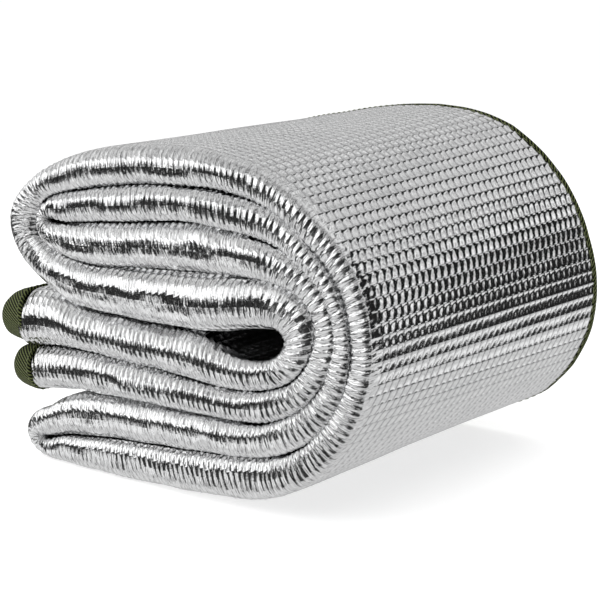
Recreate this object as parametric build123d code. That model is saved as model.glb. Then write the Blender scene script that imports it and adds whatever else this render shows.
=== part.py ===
from build123d import *
import math, os

# Folded foil-faced foam sleeping pad.
# The pad is one 1800 x 600 mm sheet, 5 mm thick: a closed-cell foam core with a metallised film on each face
# and a woven tape sewn round the edge. Its width is folded in half twice, so that it is a strip four sheets
# thick and 150 mm wide, with a rounded nose along -Y and the open, bound edges along +Y. The strip is then
# doubled and rolled over itself three times. Its eight layers are called a (top) to h (bottom).
# Strip order: tape end 1 - e - d - a - h - g - b - c - f - tape end 2.
# All dimensions are in millimetres. X runs across the layers towards the big turn, Z is up.

# ---------------------------------------------------------------- driving dimensions
sheet_length = 1800.0
sheet_width = 600.0
sheet_thickness = 5.0

depth = 154.0                 # over the nose and the bound edges, along Y
tape_depth = 2.0              # binding tape past the end of the foam, along Y
film = 0.25                   # film skin
body_gap = 0.2                # each body's clearance from the fold plane
slit = 0.15                   # half the slit between the two stacks

z_levels = {                  # undersides and tops of the layers in the flat part
    "floor": 0.0, "gh": 19.5, "fg": 40.0, "ef": 57.6, "de": 77.7,
    "cd": 102.6, "bc": 123.0, "ab": 139.7, "top": 157.5,
}
# right-hand ends of the layer boundaries, outermost first
x_right = {"outer": 123.2, "ab_gh": 111.9, "bc_fg": 102.1, "cd_ef": 91.3}

x_left = {"a": -68.5, "b": -68.5, "c": -68.5, "d": -68.5, "e": -108.6, "f": -108.6, "g": -93.8, "h": -93.8}
wrap_r = 39.9                 # outer radius of the turn from layer a to layer d
nest_r = 18.4                 # outer radius of the turn from layer b to layer c
base_r = 20.0                 # outer radius of the turn from layer g to layer h

nose_flat = 7.0               # nose radius where the layers lie loose
nose_turn = 4.4               # nose radius where they are pulled tight round the turn

fold_angles = [-67.5, -22.5, 22.5, 67.5]   # planes where the big turn bends open

tape_end_1 = (-123.2, -108.8, 61.0, 84.4)   # x low, x high, z low, z high of the taped end of layer e
tape_end_2 = (-118.2, -108.8, 38.4, 59.4)   # the same for layer f
stitch_pitch = 3.6
stitch_length = 2.6
thread = 0.5

# ---------------------------------------------------------------- derived sizes
y_front = -depth / 2
y_back = depth / 2
y_foam = y_back - tape_depth
turn_r = (z_levels["top"] - z_levels["floor"]) / 2
turn_c = (x_right["outer"] - turn_r, (z_levels["top"] + z_levels["floor"]) / 2)

bounds = [                    # (low z, high z, right x) of each nested boundary
    (z_levels["floor"], z_levels["top"], x_right["outer"]),
    (z_levels["gh"], z_levels["ab"], x_right["ab_gh"]),
    (z_levels["fg"], z_levels["bc"], x_right["bc_fg"]),
    (z_levels["ef"], z_levels["cd"], x_right["cd_ef"]),
]
tubes = [("a", "h"), ("b", "g"), ("c", "f"), ("d", "e")]
# side of each band that carries the two bound edges at its back end
edge_side = {"ah": "outer", "bg": "inner", "cf": "outer", "de": "inner"}

os.makedirs("parts", exist_ok=True)
XZ = Plane(origin=(0, y_front, 0), x_dir=(1, 0, 0), z_dir=(0, -1, 0))


def rect(x0, x1, z0, z1):
    return Pos((x0 + x1) / 2, (z0 + z1) / 2) * Rectangle(x1 - x0, z1 - z0)


def u_shape(lo, hi, right, inset=0.0):
    """Region inside one nested boundary: a long bar with a round right-hand end."""
    lo, hi, right = lo + inset, hi - inset, right - inset
    r = (hi - lo) / 2
    cx = right - r
    return rect(-200, cx, lo, hi) + Pos(cx, (lo + hi) / 2) * Circle(r)


def tear_hole(inset=0.0):
    """Tear-shaped hollow left at the middle of the big turn."""
    i = inset
    pts = [(27 - 2 * i, 77.7), (38, 81.2 + i), (52, 84.9 + i), (67, 85.8 + i), (75.5 + i, 81.5),
           (74.8 + i, 76.5 - i), (69, 71.4 - i), (56, 68.6 - i), (42, 70.4 - i), (32, 75.0 - i)]
    return make_face(Polyline(*pts, close=True))


def region(angle_lo, angle_hi, gap):
    """Wedge about the turn's centre, its two planes set back by gap."""
    mid = math.radians((angle_lo + angle_hi) / 2)
    half = math.radians((angle_hi - angle_lo) / 2)
    ax = turn_c[0] + gap / math.sin(half) * math.cos(mid)
    az = turn_c[1] + gap / math.sin(half) * math.sin(mid)
    far = 400.0
    p = [(ax, az)]
    for a in (angle_lo, (angle_lo + angle_hi) / 2, angle_hi):
        p.append((ax + far * math.cos(math.radians(a)), az + far * math.sin(math.radians(a))))
    return make_face(Polyline(*p, close=True))


def stack_region(side):
    """Everything left of the first or last fold plane."""
    a = fold_angles[0] if side == "low" else fold_angles[-1]
    c, s = math.cos(math.radians(a)), math.sin(math.radians(a))
    far = 400.0
    # the plane through the turn's centre, moved towards -X by the gap
    ox, oz = turn_c[0] - body_gap / abs(s), turn_c[1]
    if side == "low":
        z_top = z_levels["de"] - slit
        t = (z_top - oz) / s
        p = [(ox + c * t, z_top), (ox + c * far, oz + s * far), (-300, oz + s * far), (-300, z_top)]
    else:
        z_low = z_levels["de"] + slit
        p = [(ox, z_low), (ox + c * 0, oz), (ox + c * far, oz + s * far), (-300, oz + s * far), (-300, z_low)]
    return make_face(Polyline(*p, close=True))


regions = {
    "base": stack_region("low"),
    "turn_1": region(fold_angles[0], fold_angles[1], body_gap),
    "turn_2": region(fold_angles[1], fold_angles[2], body_gap),
    "turn_3": region(fold_angles[2], fold_angles[3], body_gap),
    "flap": stack_region("high"),
}


def band(k, inset=0.0):
    """The k-th band of the turn, from its outer boundary to the next one in."""
    outer = u_shape(*bounds[k], inset=inset)
    if k < 3:
        inner = u_shape(*bounds[k + 1], inset=-inset)
    else:
        inner = tear_hole(inset) + rect(-200, 60, z_levels["de"] - slit - inset, z_levels["de"] + slit + inset)
    return outer - inner


def half_band(k, side):
    """Half of a band's thickness, for the two bound edges at its back end."""
    if k < 3:
        lo, hi, right = [(p + q) / 2 for p, q in zip(bounds[k], bounds[k + 1])]
        mid = u_shape(lo, hi, right)
        nxt = u_shape(*bounds[k + 1], inset=-0.3)
    else:
        mid = u_shape(67.6, 90.2, 83.0)
        nxt = tear_hole(0.3) + rect(-200, 60, z_levels["de"] - slit, z_levels["de"] + slit)
    if side == "outer":
        return u_shape(*bounds[k], inset=0.3) - mid
    return mid - nxt


def faces_of(shape):
    return [f for f in shape.faces() if f.area > 1.0]


def prism(face2d, y0, y1):
    out = []
    for f in faces_of(face2d):
        placed = Plane(origin=(0, y0, 0), x_dir=(1, 0, 0), z_dir=(0, -1, 0)) * f
        out.append(extrude(placed, amount=-(y1 - y0)))
    return out


def round_nose(solid, y0, r, cut_planes):
    """Round the long front edges, but not those on a cut between two pieces."""
    edges = []
    for e in solid.edges():
        m = e.position_at(0.5)
        s, t = e.position_at(0.0), e.position_at(1.0)
        if abs(m.Y - y0) > 1e-4 or abs(s.Y - y0) > 1e-4 or abs(t.Y - y0) > 1e-4:
            continue
        if cut_planes(m, e):
            continue
        edges.append(e)
    for rr in (r, r * 0.8, r * 0.6, r * 0.4):
        try:
            res = fillet(edges, rr)
            s = res.solids()
            if s and s[0].is_valid:
                return s[0]
        except Exception:
            pass
    return solid


def on_cut(body, left):
    """True for a front edge that lies on a fold plane, on the slit's end or on a layer's left-hand end."""
    def test(m, e):
        if left is not None and abs(m.X - left) < 0.6:
            return True
        if body in ("base", "flap") and 66.0 < m.Z < 90.0:
            return True      # the slit and the hollow between layers d and e keep their plain edges
        dx, dz = m.X - turn_c[0], m.Z - turn_c[1]
        for a in fold_angles:
            c, s = math.cos(math.radians(a)), math.sin(math.radians(a))
            off = abs(dx * s - dz * c)
            if off < 1.2 and e.geom_type == GeomType.LINE and (dx * c + dz * s) > -2:
                d = e.tangent_at(0.5)
                if abs(d.X * s - d.Z * c) < 0.02:
                    return True
        return False
    return test


parts = {}


def add(name, shapes):
    parts.setdefault(name, []).extend(shapes)


def skin_and_core(name, face_outer, face_core, nose, body, left):
    outer = [round_nose(s, y_front, nose, on_cut(body, left)) for s in prism(face_outer, y_front, y_foam)]
    core = [round_nose(s, y_front + film, nose - film, on_cut(body, left)) for s in prism(face_core, y_front + film, y_foam)]
    cores = Compound(children=core) if len(core) > 1 else core[0]
    shell = []
    for o in outer:
        r = o
        for c in core:
            r = r - c
        shell += [s for s in r.solids() if s.volume > 1.0]
    add("film_" + name, shell)
    add("foam_" + name, core)


# ---------------------------------------------------------------- layers and the big turn
for k, (up, low) in enumerate(tubes):
    full, core = band(k), band(k, film)
    for body in regions:
        reg = regions[body]
        o2, c2 = full & reg, core & reg
        if body == "base":
            name, left, nose = "layer_" + low, x_left[low], nose_flat
        elif body == "flap":
            name, left, nose = "layer_" + up, x_left[up], nose_flat
        else:
            name, left, nose = body + "_" + up + low, None, nose_turn
        if left is not None:
            keep = rect(left, 250, -10, 200)
            o2, c2 = o2 & keep, c2 & keep
        skin_and_core(name, o2, c2, nose, body, left)

# ---------------------------------------------------------------- turns at the left-hand end
cut_r = rect(-200, x_left["a"], -50, 250)
cz_ad = (z_levels["top"] + z_levels["de"] + slit) / 2
r_ad = (z_levels["top"] - z_levels["de"] - slit) / 2
cz_bc = (z_levels["ab"] + z_levels["cd"]) / 2
r_bc = (z_levels["ab"] - z_levels["cd"]) / 2


def turn_left(name, cx, cz, r_out, r_in, cz_in):
    def ring(inset):
        f = Pos(cx, cz) * Circle(r_out - inset)
        if r_in > 0:
            f = f - Pos(cx, cz_in) * Circle(r_in + inset)
        return f & rect(cx - 2 * r_out, cx, cz - 2 * r_out, cz + 2 * r_out)
    skin_and_core(name, ring(0.0), ring(film), nose_flat, "left", cx)


turn_left("turn_a_to_d", x_left["a"], cz_ad, r_ad, r_bc + 0.15, cz_bc)
turn_left("turn_b_to_c", x_left["b"], cz_bc, r_bc - 0.15, 0, 0)
turn_left("turn_g_to_h", x_left["g"], base_r, base_r, 0, 0)

# ---------------------------------------------------------------- binding tape on the two ends of the strip
tape_wall = 0.8


def end_tape(index, box, layer):
    x0, x1, z0, z1 = box
    outer = rect(x0 + 6, x1, z0, z1) + rect(x0, x1, z0 + 6, z1 - 6) + Pos(x0 + 6, z0 + 6) * Circle(6) + Pos(x0 + 6, z1 - 6) * Circle(6)
    inner_box = (x0 + 2.0, x1 + 0.01, z0 + tape_wall, z1 - tape_wall)
    inner = rect(*inner_box)
    tube = prism(outer & rect(x0, x1, z0, z1), y_front + 1.0, y_back)
    tube = [round_nose(s, y_front + 1.0, 5.0, lambda m, e: abs(m.X - x1) < 0.5) for s in tube]
    bore = prism(inner, y_front + 6.5, y_back - tape_depth)
    walls = []
    for s in tube:
        r = s
        for b in bore:
            r = r - b
        walls += r.solids()
    add("binding_tape_end_" + str(index), walls)
    # the four sheet edges that the tape holds
    n = 4
    zt = (z1 - z0 - 2 * tape_wall) / n
    edges = []
    for i in range(n):
        zl = z0 + tape_wall + i * zt
        edges += prism(rect(x0 + 2.0, x1 - 0.01, zl + 0.05, zl + zt - 0.05), y_front + 6.6, y_back - tape_depth - 0.1)
    add("sheet_edges_end_" + str(index), edges)
    # two rows of stitches, above and below
    st = []
    y = y_front + 12.0
    while y < y_back - 8.0:
        for zc in (z0, z1):
            lo = zc - thread if zc == z0 else zc
            st.append(Pos(x1 - 3.2, y + stitch_length / 2, lo + thread / 2) * Box(thread, stitch_length, thread))
        y += stitch_pitch * 2
    add("stitching_end_" + str(index), st)


end_tape(1, tape_end_1, "e")
end_tape(2, tape_end_2, "f")

# ---------------------------------------------------------------- binding tape on the long edges, at the back
for k, (up, low) in enumerate(tubes):
    hb = half_band(k, edge_side[up + low])
    for body in regions:
        f = hb & regions[body]
        if body == "base":
            f = f & rect(x_left[low], 250, -10, 200)
        elif body == "flap":
            f = f & rect(x_left[up], 250, -10, 200)
        add("binding_tape_long_edge_" + body, prism(f, y_foam, y_back))
# round the left-hand turns
wrap_half = (Pos(x_left["a"], cz_ad) * Circle(r_ad - 0.3) - Pos(x_left["a"], cz_ad) * Circle(r_ad - 10)) & rect(-200, x_left["a"], -50, 250)
add("binding_tape_long_edge_flap", prism(wrap_half, y_foam, y_back))
nest_half = (Pos(x_left["b"], cz_bc) * Circle(8.0)) & rect(-200, x_left["b"], -50, 250)
add("binding_tape_long_edge_flap", prism(nest_half, y_foam, y_back))
base_half = (Pos(x_left["g"], base_r) * Circle(base_r - 0.3) - Pos(x_left["g"], base_r) * Circle(base_r - 10)) & rect(-200, x_left["g"], -50, 250)
add("binding_tape_long_edge_base", prism(base_half, y_foam, y_back))

# ---------------------------------------------------------------- write
for name, shapes in parts.items():
    solids = []
    for s in shapes:
        solids += s.solids()
    solids = [s for s in solids if s.volume > 0.05]
    c = solids[0] if len(solids) == 1 else Compound(children=solids)
    export_step(c, os.path.join("parts", name + ".step"))
    bb = c.bounding_box()
    print(name, len(solids), round(sum(s.volume for s in solids), 1), [round(v, 1) for v in (bb.min.X, bb.min.Y, bb.min.Z, bb.max.X, bb.max.Y, bb.max.Z)])
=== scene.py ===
import bpy
import math
import numpy as np
from mathutils import Matrix, Vector


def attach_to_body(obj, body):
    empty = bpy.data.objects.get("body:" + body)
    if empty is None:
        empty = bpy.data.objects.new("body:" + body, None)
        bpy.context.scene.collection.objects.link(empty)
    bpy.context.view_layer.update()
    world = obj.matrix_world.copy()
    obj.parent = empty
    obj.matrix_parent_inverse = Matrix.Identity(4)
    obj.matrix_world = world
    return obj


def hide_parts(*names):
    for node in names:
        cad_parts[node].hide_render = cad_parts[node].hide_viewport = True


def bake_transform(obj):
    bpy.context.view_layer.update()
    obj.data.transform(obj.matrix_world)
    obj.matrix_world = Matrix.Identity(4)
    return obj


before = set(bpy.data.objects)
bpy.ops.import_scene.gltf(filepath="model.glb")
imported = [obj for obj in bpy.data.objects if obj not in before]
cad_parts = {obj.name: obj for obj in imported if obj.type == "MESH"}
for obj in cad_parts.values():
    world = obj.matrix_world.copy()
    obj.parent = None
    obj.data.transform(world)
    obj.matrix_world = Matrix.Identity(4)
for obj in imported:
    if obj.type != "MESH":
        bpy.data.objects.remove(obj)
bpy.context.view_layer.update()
MM = 0.001

# ------------------------------------------------------------------ camera
cam_data = bpy.data.cameras.new("camera")
cam = bpy.data.objects.new("camera", cam_data)
bpy.context.scene.collection.objects.link(cam)
cam_data.sensor_width = 36.0
cam_data.lens = 74.4
cam_data.clip_start = 0.01
cam_data.dof.use_dof = False
fw = Vector((-0.681896, 0.706124, -0.190809))
rt = Vector((0.727522, 0.681748, -0.077018))
up = rt.cross(fw)
rot = Matrix((rt, up, -fw)).transposed().to_4x4()
cam.matrix_world = Matrix.Translation(Vector((0.4130, -0.4146, 0.1884))) @ rot
bpy.context.scene.camera = cam
bpy.context.scene.view_settings.view_transform = "Standard"

# ------------------------------------------------------------------ numeric helpers
C0 = np.array([44.45, 78.75])          # middle of the big turn
Y0, YB = -77.0, 74.6                   # nose tips and sheet ends
rng = np.random.RandomState(7)
LAT = rng.rand(128, 128)


def noise(x, y, k=0):
    """Smooth lattice noise in -1..1."""
    x = np.asarray(x, float) + 17.31 * k
    y = np.asarray(y, float) + 5.77 * k
    x, y = np.broadcast_arrays(x, y)
    xi, yi = np.floor(x).astype(int), np.floor(y).astype(int)
    fx, fy = x - xi, y - yi
    fx, fy = fx * fx * (3 - 2 * fx), fy * fy * (3 - 2 * fy)
    a = LAT[xi % 128, yi % 128]; b = LAT[(xi + 1) % 128, yi % 128]
    c = LAT[xi % 128, (yi + 1) % 128]; d = LAT[(xi + 1) % 128, (yi + 1) % 128]
    return ((a * (1 - fx) + b * fx) * (1 - fy) + (c * (1 - fx) + d * fx) * fy) * 2 - 1


def smooth(t):
    t = np.clip(t, 0, 1)
    return t * t * (3 - 2 * t)


def spline(t, t0, p):
    """Smooth curve through p at t0."""
    t0, p = np.asarray(t0, float), np.asarray(p, float)
    if p.ndim == 1:
        p = p[:, None]
    m = np.zeros_like(p)
    d = np.diff(p, axis=0) / np.diff(t0)[:, None]
    h = np.diff(t0)
    m[1:-1] = (d[:-1] * h[1:, None] + d[1:] * h[:-1, None]) / (h[1:] + h[:-1])[:, None]
    m[0], m[-1] = d[0], d[-1]
    i = np.clip(np.searchsorted(t0, t, side="right") - 1, 0, len(t0) - 2)
    u = ((t - t0[i]) / h[i])[:, None]
    hh = h[i][:, None]
    return ((2 * u**3 - 3 * u**2 + 1) * p[i] + (u**3 - 2 * u**2 + u) * hh * m[i]
            + (-2 * u**3 + 3 * u**2) * p[i + 1] + (u**3 - u**2) * hh * m[i + 1])


def curve(pts, step=0.7):
    p = np.array(pts, float)
    t0 = np.r_[0, np.cumsum(np.linalg.norm(np.diff(p, axis=0), axis=1))]
    return spline(np.arange(0, t0[-1], step), t0, p)


def hit(poly, origin, angle):
    """Where a ray from origin at angle (degrees) meets a dense curve."""
    o = np.array(origin, float)
    d = np.array([math.cos(math.radians(angle)), math.sin(math.radians(angle))])
    nrm = np.array([-d[1], d[0]])
    q = poly - o
    side, along = q @ nrm, q @ d
    k = np.where((side[:-1] * side[1:] <= 0) & (along[:-1] > 0.2))[0]
    if len(k) == 0:
        raise ValueError("no hit at %s" % angle)
    f = side[k] / (side[k] - side[k + 1] + 1e-12)
    a = along[k] + f * (along[k + 1] - along[k])
    return o + d * a.min()


# ------------------------------------------------------------------ layer boundaries in the X-Z plane, mm
ANG = np.arange(90, -91, -15)


def ring(radii):
    return [(C0[0] + r * math.cos(math.radians(a)), C0[1] + r * math.sin(math.radians(a))) for a, r in zip(ANG, radii)]


B0_top = [(-68, 150.0), (-54, 153.6), (-40, 155.6), (-26, 156.6), (-12, 157.0), (2, 157.0), (16, 156.3), (30, 154.9)]
B0_arc = ring([73.4, 71.2, 70.6, 71.6, 74.0, 75.4, 74.9, 72.4, 69.8, 68.6, 68.9, 70.6, 73.2])
B0_low = [(30, 3.6), (16, 2.4), (2, 1.4), (-12, 0.8), (-26, 0.45), (-40, 0.3), (-54, 0.3), (-68, 0.3), (-82, 0.4), (-96, 0.8)]
B1_top = [(-68, 135.4), (-54, 136.8), (-40, 138.3), (-26, 139.4), (-12, 139.9), (2, 139.9), (16, 139.4), (30, 138.6)]
B1_arc = ring([58.6, 57.8, 58.7, 60.4, 62.7, 64.5, 64.1, 61.6, 58.6, 56.0, 54.0, 53.4, 54.2])
B1_low = [(30, 23.4), (16, 22.2), (2, 21.2), (-12, 20.4), (-26, 19.7), (-40, 18.9), (-54, 17.9), (-68, 16.6), (-82, 14.9), (-96, 12.0), (-104, 10.6)]
B2_top = [(-80, 122.8), (-68, 121.8), (-54, 122.0), (-40, 122.4), (-26, 122.9), (-12, 123.5), (2, 124.1), (16, 124.6), (30, 123.9)]
B2_arc = ring([42.7, 43.0, 45.2, 49.2, 54.2, 57.2, 55.8, 51.2, 46.4, 42.5, 39.8, 38.4, 38.3])
B2_low = [(30, 39.8), (16, 39.5), (2, 39.7), (-12, 40.0), (-26, 40.0), (-40, 39.9), (-54, 39.7), (-68, 39.3), (-82, 37.9), (-96, 36.4), (-109, 34.9)]
B3_top = [(-68, 105.1), (-54, 102.9), (-40, 102.2), (-26, 102.4), (-12, 102.5), (2, 102.7), (16, 102.9), (30, 103.0)]
B3_arc = ring([24.3, 25.0, 27.8, 33.0, 40.0, 45.0, 44.2, 39.8, 34.5, 29.7, 26.6, 24.8, 24.2])
B3_low = [(30, 54.2), (16, 54.9), (2, 55.8), (-12, 56.7), (-26, 57.5), (-40, 58.3), (-54, 59.0), (-68, 59.8), (-82, 59.7), (-96, 59.0), (-109, 57.9)]
D_bot = [(-82, 88), (-71, 83), (-56, 80.6), (-41, 79.4), (-26, 78.5), (-12, 77.9), (2, 77.6), (14, 77.6), (27, 77.7), (33, 78.0), (46, 80.0), (55, 81.0), (62, 81.8), (67, 81.6)]
HOLE = [(55, 81.0), (62, 81.8), (68, 81.2), (71.2, 78.9), (70.2, 75.2), (66.0, 71.4), (60, 69.2), (54, 68.6)]
E_top = [(67, 72.2), (63, 70.2), (58, 68.9), (50, 68.6), (38, 70.6), (30, 73.8), (22, 76.6), (14, 77.2), (2, 77.2), (-12, 77.4), (-26, 78.0), (-41, 78.9),
         (-56, 80.1), (-71, 82.4), (-82, 86.0), (-92, 87.6), (-100, 87.2), (-109, 85.2)]
G_top = [(-103, 25.2), (-97, 28.6), (-90, 32.0), (-82, 35.0), (-68, 38.2), (-54, 39.3), (-40, 39.8)]
WRAP = [(-60, 80.9), (-71, 83), (-82, 87.6), (-94, 93.8), (-102.4, 99.2), (-109.4, 105.6), (-113, 112.3), (-113.6, 118.6), (-111.4, 125.6), (-106, 132),
        (-97.6, 137.8), (-86.8, 143.2), (-75, 147.8), (-68, 150.0), (-60, 152.3)]
NEST = [(-60, 103.8), (-68, 105.1), (-77, 107.6), (-83.6, 111.4), (-87, 116), (-87.6, 120.8), (-85.4, 126.4), (-79, 131.4), (-68, 135.4), (-60, 136.3)]
BASE = [(-82, 0.4), (-96, 0.8), (-106.5, 1.8), (-114.6, 5.4), (-118.2, 11.6), (-116.6, 18.2), (-111.6, 22.8), (-104.4, 26.4), (-97, 29.2), (-90, 32.0)]

c_B0, c_B1 = curve(B0_top[-3:] + B0_arc + B0_low[:3]), curve(B1_top[-3:] + B1_arc + B1_low[:3])
c_B2, c_B3 = curve(B2_top[-3:] + B2_arc + B2_low[:3]), curve(B3_top[-3:] + B3_arc + B3_low[:3])
c_hole, c_wrap, c_nest, c_base = curve(HOLE, 0.3), curve(WRAP), curve(NEST), curve(BASE)
full_B0, full_B1 = curve(B0_top + B0_arc + B0_low), curve(B1_top + B1_arc + B1_low)
full_B2, full_B3 = curve(B2_top + B2_arc + B2_low), curve(B3_top + B3_arc + B3_low)


def zat(poly, x, low):
    """Height of a dense curve at x, on its upper or lower run."""
    p = poly[poly[:, 1] < C0[1]] if low else poly[poly[:, 1] >= C0[1]]
    o = np.argsort(p[:, 0])
    return float(np.interp(x, p[o, 0], p[o, 1]))


def zof(pts, x):
    p = curve(pts)
    o = np.argsort(p[:, 0])
    return float(np.interp(x, p[o, 0], p[o, 1]))


sections, marks = [], {}


def sec(pl, pr, mark=None):
    if mark:
        marks[mark] = len(sections)
    sections.append((tuple(pl), tuple(pr)))


def flat(xs, left, right, names=None):
    for x in xs:
        sec((x, left(x)), (x, right(x)), (names or {}).get(x))


# the strip, from taped end 1 to taped end 2; left and right as seen along the strip
flat([-109, -100, -91, -80, -68, -54, -40, -26, -12, 4, 20, 34, 50, 60], lambda x: zof(E_top, x), lambda x: zat(full_B3, x, True), {-109: "end1", 20: "de_a", 50: "de_b"})
for a in range(-75, 91, 15):
    o = (62, 76.0)
    sec(hit(c_hole, o, a), hit(c_B3, o, a), {0: "de_c"}.get(a))
flat([58, 50, 34, 20, 4, -12, -26, -40, -54, -64], lambda x: zof(D_bot, x), lambda x: zat(full_B3, x, False), {50: "de_d", 20: "de_e"})
for a in range(-90, -271, -12):
    o = (-71, 120)
    sec(hit(c_wrap, o, a), hit(c_nest, o, a), {-90: "wr_a", -270: "wr_b"}.get(a))
flat([-64, -54, -40, -26, -12, 4, 18, 30, 40], lambda x: zat(full_B0, x, False), lambda x: zat(full_B1, x, False), {30: "ah_a"})
for a in range(90, -91, -9):
    o = (48, 79)
    sec(hit(c_B0, o, a), hit(c_B1, o, a), {45: "ah_b", 0: "ah_c", -45: "ah_d"}.get(a))
flat([40, 30, 16, 2, -12, -26, -40, -54, -68, -80, -92], lambda x: zat(full_B0, x, True), lambda x: zat(full_B1, x, True), {30: "ah_e"})
for a in range(-90, -226, -15):
    o = (-103, 10.9)
    e = (math.cos(math.radians(a)), math.sin(math.radians(a)))
    sec(hit(c_base, o, a), (o[0] + 0.5 * e[0], o[1] + 0.5 * e[1]), {-90: "gh_a", -225: "gh_b"}.get(a))
flat([-98, -90, -80, -68, -54], lambda x: zof(G_top, x), lambda x: zat(full_B1, x, True))
flat([-40, -26, -12, 4, 18, 30, 42], lambda x: zat(full_B2, x, True), lambda x: zat(full_B1, x, True), {30: "bg_a"})
for a in range(-90, 91, 10):
    o = (52, 80)
    b = {-50: -45, 50: 45}.get(a, a)
    sec(hit(c_B2, o, b), hit(c_B1, o, b), {-50: "bg_b", 0: "bg_c", 50: "bg_d"}.get(a))
flat([42, 30, 16, 2, -12, -26, -40, -54, -66], lambda x: zat(full_B2, x, False), lambda x: zat(full_B1, x, False), {30: "bg_e"})
for a in range(90, 271, 15):
    o = (-78, 122.4)
    e = (math.cos(math.radians(a)), math.sin(math.radians(a)))
    sec((o[0] + 0.5 * e[0], o[1] + 0.5 * e[1]), hit(c_nest, o, a), {90: "bc_a", 270: "bc_b"}.get(a))
flat([-66, -54, -40, -26, -12, 4, 18, 30, 42], lambda x: zat(full_B2, x, False), lambda x: zat(full_B3, x, False), {30: "cf_a"})
for a in range(90, -91, -10):
    o = (57, 80)
    b = {50: 45, -50: -45}.get(a, a)
    sec(hit(c_B2, o, b), hit(c_B3, o, b), {50: "cf_b", 0: "cf_c", -50: "cf_d"}.get(a))
flat([44, 30, 16, 2, -12, -26, -40, -54, -68, -80, -92, -100, -109], lambda x: zat(full_B2, x, True), lambda x: zat(full_B3, x, True), {30: "cf_e", -109: "end2"})

SEC = np.array(sections)                                   # (n, 2, 2)
mid = SEC.mean(1)
T0 = np.r_[0, np.cumsum(np.linalg.norm(np.diff(mid, axis=0), axis=1))]
keep = np.r_[True, np.diff(T0) > 0.6]
old = np.arange(len(SEC))
remap = np.cumsum(keep) - 1
marks = {k: int(remap[v]) for k, v in marks.items()}
SEC, mid = SEC[keep], mid[keep]
T0 = np.r_[0, np.cumsum(np.linalg.norm(np.diff(mid, axis=0), axis=1))]
S = {k: float(T0[v]) for k, v in marks.items()}
FLAT4 = SEC.reshape(len(SEC), 4)
print("STRIP length mm", round(T0[-1], 1))

# how much the far end opens out compared with the front, by direction about the big turn
WA = np.array([-180, -110, -90, -75, -60, -45, -30, -15, 0, 15, 30, 45, 60, 70, 80, 90, 100, 112, 126, 150, 180.0])
WR = np.array([1.0, 1.0, 1.0, 1.006, 1.046, 1.115, 1.142, 1.136, 1.105, 1.09, 1.113, 1.148, 1.168, 1.158, 1.142, 1.125, 1.095, 1.065, 1.03, 1.0, 1.0])


def warp(p):
    """p (..., 3) in mm: opens the bundle slightly towards the back."""
    dx, dz = p[..., 0] - C0[0], p[..., 2] - C0[1]
    a = np.degrees(np.arctan2(dz, dx))
    r = np.interp(a, WA, WR)
    t = np.clip((p[..., 1] - Y0) / (YB - Y0), 0, 1.05)
    k = 1 + (r - 1) * t
    out = p.copy()
    out[..., 0] = C0[0] + dx * k
    out[..., 2] = C0[1] + dz * k
    return out


# ------------------------------------------------------------------ one section of the strip
CELL_Y, CELL_S = 4.0, 4.5
# nose depth as a share of half the thickness on the strip's left and right side, where the tip sits between them, and how
# strongly the turn presses the layers together
NOSE = [("end1", 1.35, 0.60, -0.22, 0), ("de_a", 1.25, 0.60, -0.18, 0), ("de_b", 0.8, 0.55, -0.05, 0.3), ("de_c", 0.60, 0.50, 0, 0.6), ("de_d", 0.55, 0.70, 0.05, 0.3),
        ("de_e", 0.60, 0.95, 0.12, 0), ("wr_a", 0.62, 0.80, 0.05, 0), ("wr_b", 0.75, 0.62, 0, 0), ("ah_a", 0.85, 0.58, -0.05, 0.1), ("ah_b", 0.50, 0.42, 0, 0.9),
        ("ah_c", 0.44, 0.42, 0, 1), ("ah_d", 0.46, 0.44, 0, 0.9), ("ah_e", 0.62, 0.60, 0, 0.1), ("gh_a", 0.66, 0.60, 0, 0), ("gh_b", 0.85, 0.60, -0.05, 0),
        ("bg_a", 0.95, 0.60, -0.08, 0.1), ("bg_b", 0.46, 0.44, 0, 0.9), ("bg_c", 0.42, 0.42, 0, 1), ("bg_d", 0.44, 0.46, 0, 0.8), ("bg_e", 0.60, 0.74, 0.03, 0.1),
        ("bc_a", 0.60, 0.72, 0.03, 0), ("bc_b", 0.72, 0.60, -0.03, 0), ("cf_a", 0.90, 0.60, -0.08, 0.1), ("cf_b", 0.52, 0.44, 0, 0.7), ("cf_c", 0.44, 0.42, 0, 1),
        ("cf_d", 0.44, 0.46, 0, 0.8), ("cf_e", 0.60, 0.95, 0.10, 0.1), ("end2", 0.60, 1.15, 0.16, 0)]
N_S = np.array([S[r_[0]] for r_ in NOSE])
N_V = np.array([r_[1:] for r_ in NOSE])


# where the film is finely crumpled instead of pleated: layers c, d and g
fz_pts = [("end1", 0), ("de_d", 0.2), ("de_e", 1), ("wr_a", 0.9), ("wr_b", 0.1), ("ah_a", 0.1), ("ah_e", 0), ("gh_a", 0.1), ("gh_b", 0.9), ("bg_a", 0.8), ("bg_b", 0.1), ("bg_e", 0),
          ("bc_a", 0.1), ("bc_b", 0.9), ("cf_a", 1), ("cf_b", 0.2), ("cf_e", 0), ("end2", 0)]
FZ_S, FZ_V = np.array([S[k_] for k_, v_ in fz_pts]), np.array([v_ for k_, v_ in fz_pts], float)


def nose_at(s, k):
    return np.interp(s, N_S, N_V[:, k])


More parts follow.
